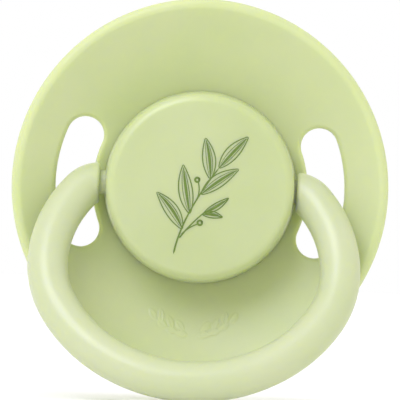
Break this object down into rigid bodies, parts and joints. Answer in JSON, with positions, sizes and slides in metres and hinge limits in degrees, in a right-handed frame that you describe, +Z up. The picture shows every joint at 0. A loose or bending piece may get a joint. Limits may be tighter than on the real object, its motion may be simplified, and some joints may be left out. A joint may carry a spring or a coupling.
{
  "type": "baby soother",
  "caption": "Baby soother with a round dished shield, two curved vent slots, a drum-shaped knob, a swinging ring handle and a round hollow teat.",
  "frame": {"origin": "centre of the knob's flat round face", "axes": "-Y out of the knob's face, +Y along the teat, +X along the ring handle's pivot axis, +Z up, with the handle hanging down"},
  "size_m": [0.044, 0.0488, 0.0469],
  "materials": {
    "shield_plastic": "pale green satin polypropylene",
    "knob_plastic": "pale green satin polypropylene",
    "plug_plastic": "pale green polypropylene, as moulded",
    "teat_silicone": "milky clear silicone rubber",
    "ring_plastic": "pale green satin polypropylene"
  },
  "bodies": {
    "soother": {"shield": "shield_plastic", "knob": "knob_plastic", "plug": "plug_plastic", "teat": "teat_silicone"},
    "handle": {"ring": "ring_plastic"}
  },
  "joints": [
    {"name": "ring_swing", "type": "hinge", "parent": "soother", "child": "handle", "pos_m": [0, 0.0039, 0], "axis": [-1, 0, 0], "range_deg": [0, 120]}
  ]
}
